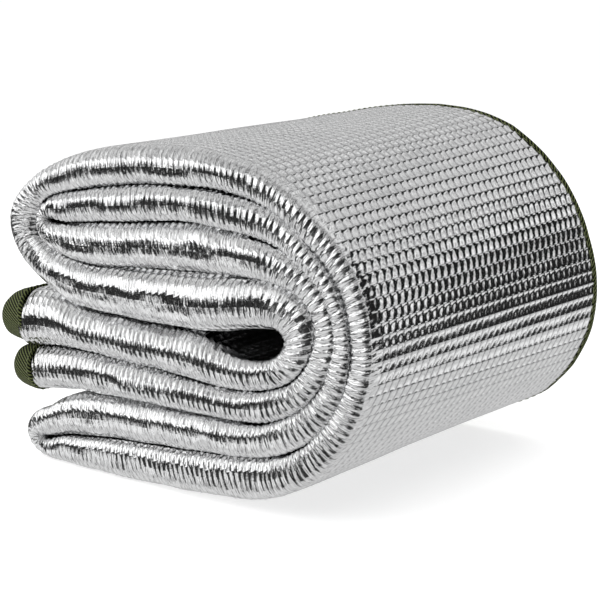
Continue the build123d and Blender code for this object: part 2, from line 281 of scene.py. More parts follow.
def rows(dense_left, dense_right, nose_n=30):
    """Rows round a section: (zone, value). Zone 0 left face, 1 nose, 2 right face, 3 back."""
    z, v = [], []
    nl = 204 if dense_left else 13
    nr = 204 if dense_right else 13
    for i in range(nl):
        z.append(0); v.append(i / nl)                       # back to front
    for i in range(nose_n + 1):
        z.append(1); v.append(90 - 180 * i / nose_n)
    for i in range(1, nr + 1):
        z.append(2); v.append(i / nr)                       # front to back
    back = [(-2.2, -0.93), (-0.6, -0.78), (0.1, -0.5), (-0.6, -0.22), (-2.2, -0.08), (-6, -0.02), (0.4, 0.07), (1.0, 0.25), (0.4, 0.43),
            (-3, 0.5), (0.4, 0.57), (1.0, 0.75), (0.4, 0.93)]
    for i in range(len(back)):
        z.append(3); v.append(i)
    return np.array(z), np.array(v, float), back


def strip_points(s, zone, val, back):
    """Positions (n, m, 3) in mm, and the distance from the nose tip."""
    q = spline(s, T0, FLAT4)
    pl, pr = q[:, :2], q[:, 2:]
    c = (pl + pr) / 2
    half = (pl - pr) / 2
    h = np.linalg.norm(half, axis=1)
    n = half / h[:, None]
    side = nose_at(s, 3)
    h = np.maximum(h - 0.25 + 0.18 * side, 0.5)
    al, ar, gt = np.minimum(h * nose_at(s, 0), 13.5), np.minimum(h * nose_at(s, 1), 10.5), nose_at(s, 2)
    a = (al + ar) / 2
    y0 = Y0 + 0.9 + 0.9 * noise(s / 31, 0.3, 2) + 0.35 * noise(s / 11, 0.7, 3)
    lq = 0.785 * (h + a)
    m = len(zone)
    y = np.zeros((len(s), m)); g = np.zeros((len(s), m)); l = np.zeros((len(s), m))
    for j in range(m):
        if zone[j] == 0:
            y[:, j] = YB + (y0 + al - YB) * val[j]; g[:, j] = 1; l[:, j] = lq + (y[:, j] - y0 - al)
        elif zone[j] == 1:
            f = math.radians(val[j])
            aa = al if f > 0 else ar
            sf = math.copysign(abs(math.sin(f)) ** 0.96, math.sin(f))
            y[:, j] = y0 + aa * (1 - abs(math.cos(f)) ** 0.92)
            g[:, j] = gt + ((1 - gt) if f > 0 else (1 + gt)) * sf
            l[:, j] = lq * val[j] / 90
        elif zone[j] == 2:
            y[:, j] = (y0 + ar) + (YB - y0 - ar) * val[j]; g[:, j] = -1; l[:, j] = -(lq + (y[:, j] - y0 - ar))
        else:
            dy, gg = back[int(val[j])]
            y[:, j] = YB + dy; g[:, j] = gg
            l[:, j] = math.copysign(1, gg) * (lq + YB - y0 - a + (1 - abs(gg)) * h)
    p = np.zeros((len(s), m, 3))
    p[..., 0] = c[:, None, 0] + n[:, None, 0] * h[:, None] * g
    p[..., 2] = c[:, None, 1] + n[:, None, 1] * h[:, None] * g
    p[..., 1] = y
    return warp(p), l, h


def normals(p):
    du = np.gradient(p, axis=0)
    dv = np.roll(p, -1, axis=1) - np.roll(p, 1, axis=1)
    n = np.cross(du, dv)
    ln = np.linalg.norm(n, axis=2, keepdims=True)
    return n / np.maximum(ln, 1e-9)


def relief(s, l, zone, dense_l, dense_r, side):
    """Height of the film's crinkles and embossing above the smooth surface, mm."""
    s2 = np.broadcast_to(s[:, None], l.shape)
    al = np.abs(l)
    nose = (0.26 + 0.74 * np.exp(-(l / 6.2) ** 2)) * np.exp(-(al / 13.5) ** 6)
    slant = 0.28 * noise(s2 / 40, 0.1, 5) + 0.12
    ph = (s2 + slant * l + 0.75 * noise(s2 / 6.5, l / 11, 6) + 0.18 * noise(s2 / 2.6, l / 7, 16)) / 3.3
    tooth = np.abs(np.sin(math.pi * ph)) ** 0.75 - 0.6
    amp = 0.86 + 0.22 * noise(s2 / 9, l / 12, 8)
    fz = np.interp(s2, FZ_S, FZ_V)
    ph2 = (s2 + (slant + 0.25) * l + 1.3 * noise(s2 / 3.5, l / 5, 17)) / 1.75
    tooth = (1 - fz) * tooth + fz * 0.62 * (np.abs(np.sin(math.pi * ph2)) ** 0.85 - 0.6)
    d = nose * amp * tooth * (1 + 0.1 * side[:, None])
    d += fz * np.exp(-(al / 11) ** 2) * (0.55 * noise(s2 / 15, l / 8, 18) + 0.22 * noise(s2 / 4.5, l / 5, 19))
    d += nose * 0.15 * (np.abs(np.sin(math.pi * (ph * 2.13 + 0.6 * noise(s2 / 3, l / 4, 9)))) - 0.6)
    d += 0.42 * np.exp(-(al / 16) ** 2) * noise(s2 / 12, l / 9, 10)
    face = 1 - np.exp(-(al / 11.5) ** 6)
    b = s2 / CELL_S
    fb = b - np.floor(b)
    av = al / CELL_Y + 0.34 * fb + 0.09 * np.sin(s2 * 0.37 + 1.3) * np.sin(al * 0.21 + 0.5)
    fa = av - np.floor(av)
    hump = np.sin(math.pi * fa ** 0.68) * (0.55 + 0.45 * np.sin(math.pi * fb ** 0.8))
    e = face * 0.74 * (hump * np.clip(np.sin(math.pi * fb) * 3.2, 0, 1) ** 0.6 - 0.45) * (0.85 + 0.25 * noise(s2 / 25, l / 22, 12))
    e += face * 0.16 * noise(s2 / 18, l / 26, 13)
    ok = np.zeros(len(zone))
    if dense_l:
        ok[zone == 0] = 1
    if dense_r:
        ok[zone == 2] = 1
    ok[zone == 1] = 1
    d = d + e * ok[None, :]
    d[:, zone == 3] = 0
    return d


def mesh_object(name, verts, faces, uvs=None, mat=None, smooth_shade=True):
    me = bpy.data.meshes.new(name)
    verts = np.asarray(verts, np.float32)
    faces = np.asarray(faces, np.int32)
    n, k = faces.shape
    me.vertices.add(len(verts)); me.vertices.foreach_set("co", (verts * MM).ravel())
    me.loops.add(n * k); me.loops.foreach_set("vertex_index", faces.ravel())
    me.polygons.add(n)
    me.polygons.foreach_set("loop_start", np.arange(0, n * k, k, dtype=np.int32))
    me.polygons.foreach_set("loop_total", np.full(n, k, np.int32))
    if uvs is not None:
        lay = me.uv_layers.new(name="UVMap")
        lay.data.foreach_set("uv", np.asarray(uvs, np.float32)[faces.ravel()].ravel())
    me.update(calc_edges=True)
    me.validate()
    me.polygons.foreach_set("use_smooth", np.full(len(me.polygons), smooth_shade))
    ob = bpy.data.objects.new(name, me)
    bpy.context.scene.collection.objects.link(ob)
    if mat:
        me.materials.append(mat)
    return ob


def grid_faces(n, m, closed=True, base=0):
    i = np.arange(n - 1)[:, None]; j = np.arange(m if closed else m - 1)[None, :]
    j2 = (j + 1) % m
    f = np.stack([i * m + j + 0 * i, i * m + j2, (i + 1) * m + j2, (i + 1) * m + j], axis=-1)
    return f.reshape(-1, 4) + base


# ------------------------------------------------------------------ materials
def new_mat(name):
    m = bpy.data.materials.new(name)
    m.use_nodes = True
    nt = m.node_tree
    bs = nt.nodes["Principled BSDF"]
    return m, nt, bs


def math_node(nt, op, a, b=None, clamp=False):
    n = nt.nodes.new("ShaderNodeMath"); n.operation = op; n.use_clamp = clamp
    for i, v in enumerate((a, b)):
        if v is None:
            continue
        if isinstance(v, (int, float)):
            n.inputs[i].default_value = v
        else:
            nt.links.new(v, n.inputs[i])
    return n.outputs[0]


def uv_mm(nt):
    uv = nt.nodes.new("ShaderNodeUVMap"); uv.uv_map = "UVMap"
    sp = nt.nodes.new("ShaderNodeSeparateXYZ"); nt.links.new(uv.outputs[0], sp.inputs[0])
    return math_node(nt, "MULTIPLY", sp.outputs[0], 1000.0), math_node(nt, "MULTIPLY", sp.outputs[1], 1000.0)


def combine(nt, x, y):
    c = nt.nodes.new("ShaderNodeCombineXYZ")
    nt.links.new(x, c.inputs[0]); nt.links.new(y, c.inputs[1])
    return c.outputs[0]


def noise_node(nt, vec, scale, detail=2.0, rough=0.5):
    n = nt.nodes.new("ShaderNodeTexNoise"); n.inputs["Scale"].default_value = scale
    n.inputs["Detail"].default_value = detail; n.inputs["Roughness"].default_value = rough
    nt.links.new(vec, n.inputs["Vector"])
    return n.outputs[0]


def film_material():
    m, nt, bs = new_mat("metallised_film_embossed")
    u, v = uv_mm(nt)
    av = math_node(nt, "ABSOLUTE", v)
    b = math_node(nt, "DIVIDE", u, CELL_S)
    fb = math_node(nt, "FRACT", b)
    wob = math_node(nt, "MULTIPLY", math_node(nt, "SINE", math_node(nt, "ADD", math_node(nt, "MULTIPLY", u, 0.37), 1.3)),
                    math_node(nt, "SINE", math_node(nt, "ADD", math_node(nt, "MULTIPLY", av, 0.21), 0.5)))
    a = math_node(nt, "ADD", math_node(nt, "ADD", math_node(nt, "DIVIDE", av, CELL_Y), math_node(nt, "MULTIPLY", fb, 0.34)), math_node(nt, "MULTIPLY", wob, 0.09))
    fa = math_node(nt, "FRACT", a)
    sa = math_node(nt, "SINE", math_node(nt, "MULTIPLY", math_node(nt, "POWER", fa, 0.68), math.pi))
    sb = math_node(nt, "ADD", math_node(nt, "MULTIPLY", math_node(nt, "SINE", math_node(nt, "MULTIPLY", math_node(nt, "POWER", fb, 0.8), math.pi)), 0.45), 0.55)
    rim = math_node(nt, "POWER", math_node(nt, "MULTIPLY", math_node(nt, "SINE", math_node(nt, "MULTIPLY", fb, math.pi)), 3.2, True), 0.6)
    cell = math_node(nt, "MULTIPLY", math_node(nt, "MULTIPLY", sa, sb), rim)
    face = nt.nodes.new("ShaderNodeMapRange"); face.interpolation_type = "SMOOTHSTEP"
    nt.links.new(av, face.inputs["Value"]); face.inputs["From Min"].default_value = 6.0; face.inputs["From Max"].default_value = 12.0
    face.inputs["To Min"].default_value = 0.30
    mask = face.outputs[0]
    inv = math_node(nt, "SUBTRACT", 1.0, mask)
    hs = math_node(nt, "ADD", math_node(nt, "MULTIPLY", u, 1.5), math_node(nt, "MULTIPLY", v, 0.25))
    crk = noise_node(nt, combine(nt, hs, math_node(nt, "MULTIPLY", v, 0.2)), 1.0, 2.0, 0.55)
    fine = noise_node(nt, combine(nt, u, v), 1.5, 3.0, 0.6)
    h = math_node(nt, "ADD", math_node(nt, "MULTIPLY", math_node(nt, "MULTIPLY", cell, mask), 0.00050),
                  math_node(nt, "MULTIPLY", math_node(nt, "MULTIPLY", crk, inv), 0.00024))
    h = math_node(nt, "ADD", h, math_node(nt, "MULTIPLY", fine, 0.00006))
    bp = nt.nodes.new("ShaderNodeBump"); bp.inputs["Strength"].default_value = 1.0; bp.inputs["Distance"].default_value = 1.0
    nt.links.new(h, bp.inputs["Height"]); nt.links.new(bp.outputs[0], bs.inputs["Normal"])
    big = noise_node(nt, combine(nt, u, v), 0.05, 3.0, 0.6)
    # painted shade: the base colour is darkened to 0.60 in the valleys of the embossed cells on the faces, and to 0.58
    # in the low parts of the crinkles near the noses
    cell_valley_shade = nt.nodes.new("ShaderNodeMapRange"); cell_valley_shade.interpolation_type = "SMOOTHSTEP"
    nt.links.new(cell, cell_valley_shade.inputs["Value"]); cell_valley_shade.inputs["From Min"].default_value = 0.02; cell_valley_shade.inputs["From Max"].default_value = 0.42
    cell_valley_shade.inputs["To Min"].default_value = 0.60
    far = nt.nodes.new("ShaderNodeMapRange"); far.interpolation_type = "SMOOTHSTEP"
    nt.links.new(av, far.inputs["Value"]); far.inputs["From Min"].default_value = 7.0; far.inputs["From Max"].default_value = 12.0
    crinkle_crease_shade = nt.nodes.new("ShaderNodeMapRange"); crinkle_crease_shade.interpolation_type = "SMOOTHSTEP"
    nt.links.new(crk, crinkle_crease_shade.inputs["Value"]); crinkle_crease_shade.inputs["From Min"].default_value = 0.34; crinkle_crease_shade.inputs["From Max"].default_value = 0.50
    crinkle_crease_shade.inputs["To Min"].default_value = 0.58
    # painted shade factor: cell-valley shade on the faces, crinkle-crease shade near the noses; it scales the base
    # colour below
    shade = math_node(nt, "ADD", math_node(nt, "MULTIPLY", cell_valley_shade.outputs[0], far.outputs[0]),
                      math_node(nt, "MULTIPLY", crinkle_crease_shade.outputs[0], math_node(nt, "SUBTRACT", 1.0, far.outputs[0])))
    ramp = nt.nodes.new("ShaderNodeValToRGB")
    ramp.color_ramp.elements[0].position = 0.3; ramp.color_ramp.elements[0].color = (0.86, 0.865, 0.87, 1)
    ramp.color_ramp.elements[1].position = 0.75; ramp.color_ramp.elements[1].color = (0.94, 0.94, 0.945, 1)
    nt.links.new(big, ramp.inputs[0])
    dark = nt.nodes.new("ShaderNodeVectorMath"); dark.operation = "SCALE"
    nt.links.new(ramp.outputs[0], dark.inputs[0]); nt.links.new(shade, dark.inputs["Scale"]); nt.links.new(dark.outputs[0], bs.inputs["Base Color"])
    rr = nt.nodes.new("ShaderNodeMapRange"); nt.links.new(fine, rr.inputs["Value"])
    rr.inputs["To Min"].default_value = 0.05; rr.inputs["To Max"].default_value = 0.11
    nt.links.new(rr.outputs[0], bs.inputs["Roughness"])
    bs.inputs["Metallic"].default_value = 1.0
    return m


def tape_material():
    """Olive twill tape: diagonal weave in the tape's own length and width."""
    m, nt, bs = new_mat("binding_tape_twill")
    u, v = uv_mm(nt)
    d1 = math_node(nt, "ADD", math_node(nt, "MULTIPLY", u, 0.56), math_node(nt, "MULTIPLY", v, 0.40))
    w = math_node(nt, "POWER", math_node(nt, "SINE", math_node(nt, "MULTIPLY", d1, math.pi)), 2.0)
    y = math_node(nt, "ABSOLUTE", math_node(nt, "SINE", math_node(nt, "MULTIPLY", u, math.pi * 0.9)))
    h = math_node(nt, "ADD", math_node(nt, "MULTIPLY", w, 0.8), math_node(nt, "MULTIPLY", y, 0.2))
    fz = noise_node(nt, combine(nt, u, v), 3.0, 3.0, 0.7)
    hh = math_node(nt, "ADD", math_node(nt, "MULTIPLY", h, 0.00036), math_node(nt, "MULTIPLY", fz, 0.00010))
    bp = nt.nodes.new("ShaderNodeBump"); bp.inputs["Distance"].default_value = 1.0
    nt.links.new(hh, bp.inputs["Height"]); nt.links.new(bp.outputs[0], bs.inputs["Normal"])
    ramp = nt.nodes.new("ShaderNodeValToRGB")
    e = ramp.color_ramp.elements
    e[0].position = 0.40; e[0].color = (0.002, 0.003, 0.001, 1)
    e[1].position = 0.92; e[1].color = (0.168, 0.198, 0.074, 1)
    mixv = math_node(nt, "ADD", math_node(nt, "MULTIPLY", h, 0.80), math_node(nt, "MULTIPLY", fz, 0.16))
    nt.links.new(mixv, ramp.inputs[0]); nt.links.new(ramp.outputs[0], bs.inputs["Base Color"])
    bs.inputs["Roughness"].default_value = 0.82
    bs.inputs["Specular IOR Level"].default_value = 0.12
    bs.inputs["Sheen Weight"].default_value = 0.03
    bs.inputs["Sheen Roughness"].default_value = 0.5
    return m


def thread_material():
    m, nt, bs = new_mat("sewing_thread")
    u, v = uv_mm(nt)
    t = math_node(nt, "ABSOLUTE", math_node(nt, "SINE", math_node(nt, "ADD", math_node(nt, "MULTIPLY", u, 9.0), math_node(nt, "MULTIPLY", v, 4.0))))
    ramp = nt.nodes.new("ShaderNodeValToRGB")
    ramp.color_ramp.elements[0].color = (0.05, 0.06, 0.025, 1); ramp.color_ramp.elements[1].color = (0.16, 0.18, 0.08, 1)
    nt.links.new(t, ramp.inputs[0]); nt.links.new(ramp.outputs[0], bs.inputs["Base Color"])
    bs.inputs["Roughness"].default_value = 0.6
    return m


def foam_material():
    m, nt, bs = new_mat("closed_cell_foam")
    tc = nt.nodes.new("ShaderNodeTexCoord")
    vo = nt.nodes.new("ShaderNodeTexVoronoi"); vo.inputs["Scale"].default_value = 900
    nt.links.new(tc.outputs["Object"], vo.inputs["Vector"])
    bp = nt.nodes.new("ShaderNodeBump"); bp.inputs["Distance"].default_value = 0.0004
    nt.links.new(vo.outputs["Distance"], bp.inputs["Height"]); nt.links.new(bp.outputs[0], bs.inputs["Normal"])
    ramp = nt.nodes.new("ShaderNodeValToRGB")
    ramp.color_ramp.elements[0].color = (0.62, 0.63, 0.64, 1); ramp.color_ramp.elements[1].color = (0.86, 0.87, 0.88, 1)
    nt.links.new(vo.outputs["Distance"], ramp.inputs[0]); nt.links.new(ramp.outputs[0], bs.inputs["Base Color"])
    bs.inputs["Roughness"].default_value = 0.7
    bs.inputs["Subsurface Weight"].default_value = 0.0
    return m


FILM, TAPE, THREAD, FOAM = film_material(), tape_material(), thread_material(), foam_material()

# ------------------------------------------------------------------ the strip's pieces
DS = 0.5
# name, from, to, ride body or (body at start, body at end), dense left face, CAD nodes it stands for
PIECES = [
    ("layer_e", "end1", "de_a", "base", False, []),
    ("turn_de_1", "de_a", "de_b", ("base", "turn_1"), False, []),
    ("turn_de_2", "de_b", "de_c", ("turn_1", "turn_2"), False, []),
    ("turn_de_3", "de_c", "de_d", ("turn_2", "turn_3"), False, []),
    ("turn_de_4", "de_d", "de_e", ("turn_3", "flap"), False, []),
    ("layers_d_a", "de_e", "ah_a", "flap", True, []),
    ("turn_ah_4", "ah_a", "ah_b", ("flap", "turn_3"), True, []),
    ("turn_ah_3", "ah_b", "ah_c", ("turn_3", "turn_2"), True, []),
    ("turn_ah_2", "ah_c", "ah_d", ("turn_2", "turn_1"), True, []),
    ("turn_ah_1", "ah_d", "ah_e", ("turn_1", "base"), True, []),
    ("layers_h_g", "ah_e", "bg_a", "base", False, []),
    ("turn_bg_1", "bg_a", "bg_b", ("base", "turn_1"), False, []),
    ("turn_bg_2", "bg_b", "bg_c", ("turn_1", "turn_2"), False, []),
    ("turn_bg_3", "bg_c", "bg_d", ("turn_2", "turn_3"), False, []),
    ("turn_bg_4", "bg_d", "bg_e", ("turn_3", "flap"), False, []),
    ("layers_b_c", "bg_e", "cf_a", "flap", False, []),
    ("turn_cf_4", "cf_a", "cf_b", ("flap", "turn_3"), False, []),
    ("turn_cf_3", "cf_b", "cf_c", ("turn_3", "turn_2"), False, []),
    ("turn_cf_2", "cf_c", "cf_d", ("turn_2", "turn_1"), False, []),
    ("turn_cf_1", "cf_d", "cf_e", ("turn_1", "base"), False, []),
    ("layer_f", "cf_e", "end2", "base", False, []),
]


def attach(ob, where, a_pts=None, b_pts=None):
    """Ride on one body; otherwise only bake the transform in place (the span between the two borders is worked out but
    not used).
    """
    if isinstance(where, str):
        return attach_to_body(ob, where)
    ca, cb = a_pts.mean(0), b_pts.mean(0)
    d = cb - ca
    L = np.linalg.norm(d); d = d / L
    lo = ((a_pts - ca) @ d).max() + 0.6
    hi = ((b_pts - ca) @ d).min() - 0.6
    if hi - lo < 4.0:
        c = (hi + lo) / 2; lo, hi = c - 2.0, c + 2.0
    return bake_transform(ob)


def strip_grid(s, zone, val, back, dl):
    ds = s[1] - s[0]
    ext = np.r_[s[0] - 2 * ds, s[0] - ds, s, s[-1] + ds, s[-1] + 2 * ds]
    ext = np.clip(ext, T0[0], T0[-1])
    p, l, h = strip_points(ext, zone, val, back)
    e2 = np.r_[s[0] - 2 * ds, s[0] - ds, s, s[-1] + ds, s[-1] + 2 * ds]
    n = normals(p)
    r = relief(e2, l, zone, dl, False, nose_at(ext, 3))
    lim = np.clip((h[:, None] - 0.6) * 0.5, 0, 1.2)
    p = p + n * np.clip(r, -lim, lim)[..., None]
    return p[2:-2], l[2:-2]


for name, a, b, where, dl, reps in PIECES:
    s = np.linspace(S[a], S[b], max(6, int(round((S[b] - S[a]) / DS)) + 1))
    zone, val, back = rows(dl, False)
    p, l = strip_grid(s, zone, val, back, dl)
    n, m = p.shape[:2]
    uv = np.stack([np.broadcast_to(s[:, None], l.shape), l], -1).reshape(-1, 2) * MM
    f = grid_faces(n, m)[:, ::-1]
    ob = mesh_object("film_" + name, p.reshape(-1, 3), f, uv, FILM)
    ob["u0"], ob["u1"] = float(s[0]), float(s[-1])
    attach(ob, where, p[0], p[-1])

# which CAD nodes each piece stands for
stands = {
    "layer_e": ["film_layer_e", "foam_layer_e"], "layer_f": ["film_layer_f", "foam_layer_f"],
    "layers_d_a": ["film_layer_d", "foam_layer_d", "film_layer_a", "foam_layer_a", "film_turn_a_to_d", "foam_turn_a_to_d"],
    "layers_h_g": ["film_layer_h", "foam_layer_h", "film_layer_g", "foam_layer_g", "film_turn_g_to_h", "foam_turn_g_to_h"],
    "layers_b_c": ["film_layer_b", "foam_layer_b", "film_layer_c", "foam_layer_c", "film_turn_b_to_c", "foam_turn_b_to_c"],
}
for t in ("ah", "bg", "cf", "de"):
    stands["turn_%s_2" % t] = ["film_turn_1_" + t, "foam_turn_1_" + t]
    stands["turn_%s_3" % t] = ["film_turn_2_" + t, "foam_turn_2_" + t, "film_turn_3_" + t, "foam_turn_3_" + t]
for k, nodes in stands.items():
    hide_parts(*nodes)

# ------------------------------------------------------------------ long-edge binding tape at the back
TAPE_W = 2.3
for name, a, b, where, dl, reps in PIECES:
    s = np.linspace(S[a], S[b], max(4, int(round((S[b] - S[a]) / 1.6)) + 1))
    q = spline(s, T0, FLAT4)
    pl, pr = q[:, :2], q[:, 2:]
    c, half = (pl + pr) / 2, (pl - pr) / 2
    h = np.linalg.norm(half, axis=1); nn = half / h[:, None]
    h = np.maximum(h - 0.25, 0.5)
    verts, faces, uvs = [], [], []
    for (g1, g0) in ((1.0, 0.5), (0.5, 0.0)):
        # outer run then inner run of a U over the sheet's edge: (y offset, fraction from g1 to g0, outward mm)
        prof = [(-TAPE_W, 0, 0.15 if g1 == 1 else -0.35), (-TAPE_W + 0.4, 0, 0.42 if g1 == 1 else -0.2), (-2, 0, 0.45 if g1 == 1 else -0.2), (0.6, 0, 0.4 if g1 == 1 else -0.25), (1.7, 0.12, 0), (2.3, 0.32, 0), (2.45, 0.5, 0),
                (2.3, 0.68, 0), (1.7, 0.88, 0), (0.6, 1, 0.1), (-2.4, 1, 0.1), (-2.4, 0.85, 0), (0.2, 0.8, 0), (0.9, 0.5, 0), (0.2, 0.2, 0), (-2.0, 0.08, 0), (-TAPE_W + 0.2, 0.04, 0)]
        m = len(prof)
        P = np.zeros((len(s), m, 3)); U = np.zeros((len(s), m, 2)); cum = 0
        for j, (dy, fr, outw) in enumerate(prof):
            g = g1 + (g0 - g1) * fr
            off = h * g + outw
            P[:, j, 0] = c[:, 0] + nn[:, 0] * off; P[:, j, 2] = c[:, 1] + nn[:, 1] * off
            P[:, j, 1] = YB + dy + 0.25 * noise(s / 9, g1 * 3, 20)
            if j:
                cum += math.hypot(dy - prof[j - 1][0], (fr - prof[j - 1][1]) * 4)
            U[:, j, 0] = s; U[:, j, 1] = cum
        P = warp(P)
        base = len(verts) and sum(len(v) for v in verts)
        faces.append(grid_faces(len(s), m, True, base)[:, ::-1])
        verts.append(P.reshape(-1, 3)); uvs.append(U.reshape(-1, 2) * MM)
    V = np.concatenate(verts); F = np.concatenate(faces)
    ob = mesh_object("tape_long_edge_" + name, V, F, np.concatenate(uvs), TAPE)
    m2 = 17
    attach(ob, where, V[:m2], V[(len(s) - 1) * m2:len(s) * m2])
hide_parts("binding_tape_long_edge_base")
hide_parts("binding_tape_long_edge_flap")
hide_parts("binding_tape_long_edge_turn_1", "binding_tape_long_edge_turn_2")
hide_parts("binding_tape_long_edge_turn_3")


# ------------------------------------------------------------------ taped ends of the strip
def outline(x, z_lo, z_hi, inset, y_front, n=34):
    """Closed loop round a taped end in the Y-Z plane at x, moved inwards by inset."""
    zc, h = (z_lo + z_hi) / 2, (z_hi - z_lo) / 2
    hh = max(h - inset, 0.2)
    yf = y_front + inset
    a = max(min(h, 10.0) - inset * 0.8, 0.4)
    yb = YB + 1.8 - inset * 0.6
    pts = []
    nf = 34
    rb = min(3.4, hh * 0.8)
    for i in range(nf):
        t = i / nf
        pts.append((x, (yb - rb) + (yf + a - yb + rb) * t, zc + hh))
    for i in range(n + 1):
        f = math.radians(90 - 180 * i / n)
        pts.append((x, yf + a * (1 - math.cos(f)), zc + hh * math.sin(f)))
    for i in range(1, nf + 1):
        t = i / nf
        pts.append((x, (yf + a) + (yb - rb - yf - a) * t, zc - hh))
    for i in range(1, 6):
        f = math.radians(90 * i / 5)
        pts.append((x, yb - rb + rb * math.sin(f), zc - hh + rb * (1 - math.cos(f))))
    for i in range(1, 5):
        pts.append((x, yb, zc - hh + rb + (2 * hh - 2 * rb) * i / 5))
    for i in range(0, 5):
        f = math.radians(90 * i / 5)
        pts.append((x, yb - rb + rb * math.cos(f), zc + hh - rb + rb * math.sin(f)))
    return np.array(pts)


def taped_end(idx, s_at, dirn, x1, x0, z_fun):
    """A taped end: x1 is where the tape starts, x0 the tip. z_fun(x) gives the layer's lower and upper faces."""
    L = x1 - x0
    prof = [(x1 + 0.4, 0.6), (x1 + 0.4, -0.05), (x1 + 0.1, -0.55), (x1 - L * 0.25, -0.62), (x1 - L * 0.5, -0.55), (x1 - L * 0.7, -0.3), (x0 + 2.0, 0.25), (x0 + 0.9, 0.9),
            (x0 + 0.25, 1.9), (x0, 3.0), (x0 + 0.3, 4.1), (x0 + 1.2, 5.0), (x0 + 3.2, 5.6), (x0 + 4.6, 5.9), (x0 + 3.4, 6.3), (x0 + 1.6, 6.8),
            (x0 + 0.9, 7.8), (x0 + 0.9, 8.8), (x0 + 1.6, 9.6), (x0 + 4.0, 10.2)]
    loops, us = [], []
    cum = 0
    fine = []
    for i in range(len(prof) - 1):
        k = 4 if i < 7 else 2
        for j in range(k):
            t = j / k
            fine.append((prof[i][0] * (1 - t) + prof[i + 1][0] * t, prof[i][1] * (1 - t) + prof[i + 1][1] * t))
    fine.append(prof[-1])
    prev = None
    for (x, ins) in fine:
        lo, hi = z_fun(x)
        lp = outline(x, lo, hi, min(ins, (hi - lo) / 2 - 0.4), Y0 + 0.6)
        loops.append(lp)
        if prev is not None:
            cum += math.hypot(x - prev[0], ins - prev[1])
        us.append(cum); prev = (x, ins)
    P = np.stack(loops)
    m0 = P.shape[1]
    P = np.concatenate([P, P[:, :1]], 1)
    n, m = P.shape[:2]
    per = np.r_[0, np.cumsum(np.linalg.norm(np.diff(P[0], axis=0), axis=1))]
    # gentle unevenness
    w = noise(per[None, :] / 16, np.array(us)[:, None] / 12, 30 + idx)
    nrm = normals(P)
    fade = np.clip(np.minimum(per, per[-1] - per) / 4.0, 0, 1)[None, :]
    P = P + nrm * ((0.35 * w + 0.18 * noise(per[None, :] / 5, np.array(us)[:, None] / 6, 33 + idx)) * fade)[..., None] * -1
    P = warp(P)
    U = np.stack([np.broadcast_to(per[None, :], (n, m)), np.broadcast_to(np.array(us)[:, None], (n, m))], -1)
    V = P.reshape(-1, 3)
    F = grid_faces(n, m)
    # close the innermost loop with a strip of quads
    last = (n - 1) * m
    half = m0 // 2
    caps = []
    for i in range(half - 1):
        a_, b_, c_, d_ = last + i, last + i + 1, last + (m0 - 2 - i), last + (m0 - 1 - i)
        if len({a_, b_, c_, d_}) == 4:
            caps.append((a_, b_, c_, d_))
    F = np.concatenate([F, np.array(caps)])
    ob = mesh_object("tape_end_%d" % idx, V, F, U.reshape(-1, 2) * MM, TAPE)
    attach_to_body(ob, "base")
    # stitches round the tape
    row = 9
    path = P[row]
    d = np.r_[0, np.cumsum(np.linalg.norm(np.diff(path, axis=0), axis=1))]
    nr = normals(P)[row]
    sv, sf, su = [], [], []
    cc = path.mean(0)
    t = 6.0
    while t < d[-1] - 26:
        t1 = t + 2.5
        p0 = np.array([np.interp(t, d, path[:, k]) for k in range(3)])
        p1 = np.array([np.interp(t1, d, path[:, k]) for k in range(3)])
        nn = np.array([np.interp((t + t1) / 2, d, nr[:, k]) for k in range(3)])
        nn /= np.linalg.norm(nn) + 1e-9
        if nn @ (p0 - cc) < 0:
            nn = -nn
        ax = (p1 - p0) / (np.linalg.norm(p1 - p0) + 1e-9)
        bx = np.cross(ax, nn)
        b0 = sum(len(v) for v in sv)
        ring_, K = [], 8
        for fr, rad, lift in ((0, 0.05, -0.15), (0.12, 0.24, 0.02), (0.5, 0.3, 0.14), (0.88, 0.24, 0.02), (1, 0.05, -0.15)):
            o = p0 + (p1 - p0) * fr + nn * lift
            for k in range(K):
                an = 2 * math.pi * k / K
                ring_.append(o + (nn * math.cos(an) + bx * math.sin(an)) * rad)
        sv.append(np.array(ring_)); sf.append(grid_faces(5, K, True, b0)); su.append(np.array([[0.3 * i, t] for i in range(5 * K)]) * MM)
        t += 3.6
    st = mesh_object("stitches_end_%d" % idx, np.concatenate(sv), np.concatenate(sf), np.concatenate(su), THREAD)
    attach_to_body(st, "base")
    return ob, st


t1, st1 = taped_end(1, 0, 1, -107.0, -125.4, lambda x: (np.interp(x, [-125.4, -112, -104], [60.2, 58.6, 58.2]), np.interp(x, [-125.4, -119, -114, -108, -100], [81.4, 84.2, 85.3, 86.0, 87.2])))
t2, st2 = taped_end(2, 0, 1, -105.0, -120.0, lambda x: (np.interp(x, [-120, -108, -100], [36.0, 34.9, 35.7]), np.interp(x, [-120, -110, -100], [56.2, 57.5, 58.5])))
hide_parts("binding_tape_end_1", "sheet_edges_end_1")
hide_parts("binding_tape_end_2", "sheet_edges_end_2")
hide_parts("stitching_end_1")
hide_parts("stitching_end_2")

